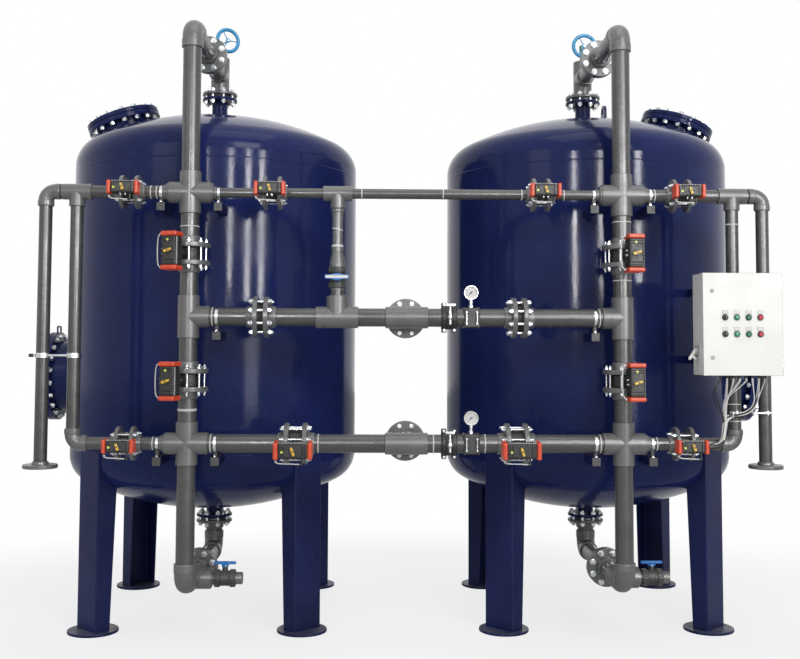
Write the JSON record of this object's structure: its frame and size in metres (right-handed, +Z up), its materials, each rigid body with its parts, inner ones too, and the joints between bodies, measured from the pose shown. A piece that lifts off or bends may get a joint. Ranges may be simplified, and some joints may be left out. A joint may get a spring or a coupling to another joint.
{
  "type": "water softener",
  "caption": "Water softener with dished resin vessels on channel legs, plastic face piping, pneumatic wafer valves and a control cabinet.",
  "frame": {"origin": "on the floor, under the middle of the whole object's width and depth", "axes": "+Z up, -Y towards the front with the pipework, +X along the headers towards the control cabinet"},
  "size_m": [4.05, 2.0223, 3.3192],
  "materials": {
    "navy_paint": "glossy navy enamel over the welded steel shell",
    "grey_pvc": "dark grey PVC-U, slightly glossy",
    "resin_beads": "amber ion exchange beads",
    "valve_black": "black moulded valve body and actuator",
    "pointer_yellow": "yellow position pointer on a steel stem",
    "handle_blue": "bright blue moulded handle",
    "cabinet_paint": "light grey powder coat",
    "needle_black": "black gauge needle",
    "switch_grey": "grey moulded lever",
    "button_green": "green push button",
    "button_red": "red push button",
    "cable_grey": "pale grey cable jacket"
  },
  "bodies": {
    "frame": {"brine_line": "grey_pvc", "cabinet_box": "cabinet_paint", "cable_loom": "cable_grey", "left_bottom_riser": "grey_pvc", "left_face_riser": "grey_pvc", "left_lower_inner_valve": "valve_black", "left_lower_main_valve": "valve_black", "left_lower_outer_valve": "valve_black", "left_lower_spool": "grey_pvc", "left_middle_spool": "grey_pvc", "left_resin_bed": "resin_beads", "left_side_pipes": "grey_pvc", "left_top_riser": "grey_pvc", "left_upper_inner_valve": "valve_black", "left_upper_main_valve": "valve_black", "left_upper_outer_valve": "valve_black", "left_vessel": "navy_paint", "lower_header": "grey_pvc", "middle_header": "grey_pvc", "right_bottom_riser": "grey_pvc", "right_face_riser": "grey_pvc", "right_lower_inner_valve": "valve_black", "right_lower_main_valve": "valve_black", "right_lower_outer_valve": "valve_black", "right_lower_spool": "grey_pvc", "right_middle_spool": "grey_pvc", "right_resin_bed": "resin_beads", "right_side_pipes": "grey_pvc", "right_top_riser": "grey_pvc", "right_upper_inner_valve": "valve_black", "right_upper_main_valve": "valve_black", "right_upper_outer_valve": "valve_black", "right_vessel": "navy_paint"},
    "left_upper_outer_rotor": {"left_upper_outer_disc": "pointer_yellow"},
    "left_upper_inner_rotor": {"left_upper_inner_disc": "pointer_yellow"},
    "left_upper_main_rotor": {"left_upper_main_disc": "pointer_yellow"},
    "left_lower_main_rotor": {"left_lower_main_disc": "pointer_yellow"},
    "left_lower_inner_rotor": {"left_lower_inner_disc": "pointer_yellow"},
    "left_lower_outer_rotor": {"left_lower_outer_disc": "pointer_yellow"},
    "left_drain_lever": {"left_drain_handle": "handle_blue"},
    "left_vent_wheel": {"left_vent_handwheel": "handle_blue"},
    "right_upper_outer_rotor": {"right_upper_outer_disc": "pointer_yellow"},
    "right_upper_inner_rotor": {"right_upper_inner_disc": "pointer_yellow"},
    "right_upper_main_rotor": {"right_upper_main_disc": "pointer_yellow"},
    "right_lower_main_rotor": {"right_lower_main_disc": "pointer_yellow"},
    "right_lower_inner_rotor": {"right_lower_inner_disc": "pointer_yellow"},
    "right_lower_outer_rotor": {"right_lower_outer_disc": "pointer_yellow"},
    "right_drain_lever": {"right_drain_handle": "handle_blue"},
    "right_vent_wheel": {"right_vent_handwheel": "handle_blue"},
    "brine_lever": {"brine_valve_handle": "handle_blue"},
    "upper_needle": {"upper_gauge_pointer": "needle_black"},
    "lower_needle": {"lower_gauge_pointer": "needle_black"},
    "door": {"cabinet_door": "cabinet_paint"},
    "main_switch": {"main_switch_handle": "switch_grey"},
    "lower_knob": {"lower_selector": "needle_black"},
    "lower_start_cap": {"lower_start_button": "button_green"},
    "lower_stop_cap": {"lower_stop_button": "button_red"},
    "upper_knob": {"upper_selector": "needle_black"},
    "upper_start_cap": {"upper_start_button": "button_green"},
    "upper_stop_cap": {"upper_stop_button": "button_red"}
  },
  "joints": [
    {"name": "left_upper_outer_turn", "type": "hinge", "parent": "frame", "child": "left_upper_outer_rotor", "pos_m": [-1.358, -0.74885, 2.232], "axis": [0, -1, 0], "range_deg": [0, 90]},
    {"name": "left_upper_inner_turn", "type": "hinge", "parent": "frame", "child": "left_upper_inner_rotor", "pos_m": [-0.662, -0.74885, 2.232], "axis": [0, -1, 0], "range_deg": [0, 90]},
    {"name": "left_upper_main_turn", "type": "hinge", "parent": "frame", "child": "left_upper_main_rotor", "pos_m": [-1.067, -0.74885, 1.927], "axis": [-0.2588, -0.9659, 0], "range_deg": [0, 90]},
    {"name": "left_lower_main_turn", "type": "hinge", "parent": "frame", "child": "left_lower_main_rotor", "pos_m": [-1.067, -0.74885, 1.313], "axis": [-0.2588, -0.9659, 0], "range_deg": [0, 90]},
    {"name": "left_lower_inner_turn", "type": "hinge", "parent": "frame", "child": "left_lower_inner_rotor", "pos_m": [-0.537, -0.74885, 1.006], "axis": [0, -0.9976, -0.0698], "range_deg": [0, 90]},
    {"name": "left_lower_outer_turn", "type": "hinge", "parent": "frame", "child": "left_lower_outer_rotor", "pos_m": [-1.358, -0.74885, 1.006], "axis": [0, -1, 0], "range_deg": [0, 90]},
    {"name": "left_drain_turn", "type": "hinge", "parent": "frame", "child": "left_drain_lever", "pos_m": [-0.894, -0.58885, 0.327], "axis": [0, 0, 1], "range_deg": [0, 90]},
    {"name": "left_vent_turn", "type": "hinge", "parent": "frame", "child": "left_vent_wheel", "pos_m": [-1.067, 0.21115, 3.245], "axis": [0.5, -0.866, 0], "range_deg": [0, 1080]},
    {"name": "right_upper_outer_turn", "type": "hinge", "parent": "frame", "child": "right_upper_outer_rotor", "pos_m": [1.358, -0.74885, 2.232], "axis": [0, -1, 0], "range_deg": [0, 90]},
    {"name": "right_upper_inner_turn", "type": "hinge", "parent": "frame", "child": "right_upper_inner_rotor", "pos_m": [0.662, -0.74885, 2.232], "axis": [0, -1, 0], "range_deg": [0, 90]},
    {"name": "right_upper_main_turn", "type": "hinge", "parent": "frame", "child": "right_upper_main_rotor", "pos_m": [1.067, -0.74885, 1.927], "axis": [0.0698, -0.9976, 0], "range_deg": [0, 90]},
    {"name": "right_lower_main_turn", "type": "hinge", "parent": "frame", "child": "right_lower_main_rotor", "pos_m": [1.067, -0.74885, 1.313], "axis": [0.0698, -0.9976, 0], "range_deg": [0, 90]},
    {"name": "right_lower_inner_turn", "type": "hinge", "parent": "frame", "child": "right_lower_inner_rotor", "pos_m": [0.537, -0.74885, 1.006], "axis": [0, -0.9976, -0.0698], "range_deg": [0, 90]},
    {"name": "right_lower_outer_turn", "type": "hinge", "parent": "frame", "child": "right_lower_outer_rotor", "pos_m": [1.358, -0.74885, 1.006], "axis": [0, -1, 0], "range_deg": [0, 90]},
    {"name": "right_drain_turn", "type": "hinge", "parent": "frame", "child": "right_drain_lever", "pos_m": [1.24, -0.58885, 0.327], "axis": [0, 0, 1], "range_deg": [0, 90]},
    {"name": "right_vent_turn", "type": "hinge", "parent": "frame", "child": "right_vent_wheel", "pos_m": [1.067, 0.21115, 3.245], "axis": [0, -1, 0], "range_deg": [0, 1080]},
    {"name": "brine_valve_turn", "type": "hinge", "parent": "frame", "child": "brine_lever", "pos_m": [-0.342, -0.74885, 1.8165], "axis": [0, -1, 0], "range_deg": [0, 90]},
    {"name": "upper_gauge_sweep", "type": "hinge", "parent": "frame", "child": "upper_needle", "pos_m": [0.317, -0.75615, 1.745], "axis": [0, -1, 0], "range_deg": [-270, 0], "stiffness_Nm_per_rad": 0.002},
    {"name": "lower_gauge_sweep", "type": "hinge", "parent": "frame", "child": "lower_needle", "pos_m": [0.317, -0.75615, 1.13], "axis": [0, -1, 0], "range_deg": [-270, 0], "stiffness_Nm_per_rad": 0.002},
    {"name": "door_swing", "type": "hinge", "parent": "frame", "child": "door", "pos_m": [1.7793, -0.974, 1.59], "axis": [0, 0, 1], "range_deg": [0, 120]},
    {"name": "main_switch_turn", "type": "hinge", "parent": "frame", "child": "main_switch", "pos_m": [1.392, -0.90385, 1.462], "axis": [-1, 0, 0], "range_deg": [0, 90]},
    {"name": "lower_selector_turn", "type": "hinge", "parent": "door", "child": "lower_knob", "pos_m": [1.497, -0.99715, 1.543], "axis": [0, -1, 0], "range_deg": [-45, 45]},
    {"name": "lower_start_push", "type": "slide", "parent": "door", "child": "lower_start_cap", "axis": [0, 1, 0], "range_m": [0, 0.004], "stiffness_N_per_m": 300, "springref_m": -0.002},
    {"name": "lower_stop_push", "type": "slide", "parent": "door", "child": "lower_stop_cap", "axis": [0, 1, 0], "range_m": [0, 0.004], "stiffness_N_per_m": 300, "springref_m": -0.002},
    {"name": "upper_selector_turn", "type": "hinge", "parent": "door", "child": "upper_knob", "pos_m": [1.497, -0.99715, 1.622], "axis": [0, -1, 0], "range_deg": [-45, 45]},
    {"name": "upper_start_push", "type": "slide", "parent": "door", "child": "upper_start_cap", "axis": [0, 1, 0], "range_m": [0, 0.004], "stiffness_N_per_m": 300, "springref_m": -0.002},
    {"name": "upper_stop_push", "type": "slide", "parent": "door", "child": "upper_stop_cap", "axis": [0, 1, 0], "range_m": [0, 0.004], "stiffness_N_per_m": 300, "springref_m": -0.002}
  ]
}
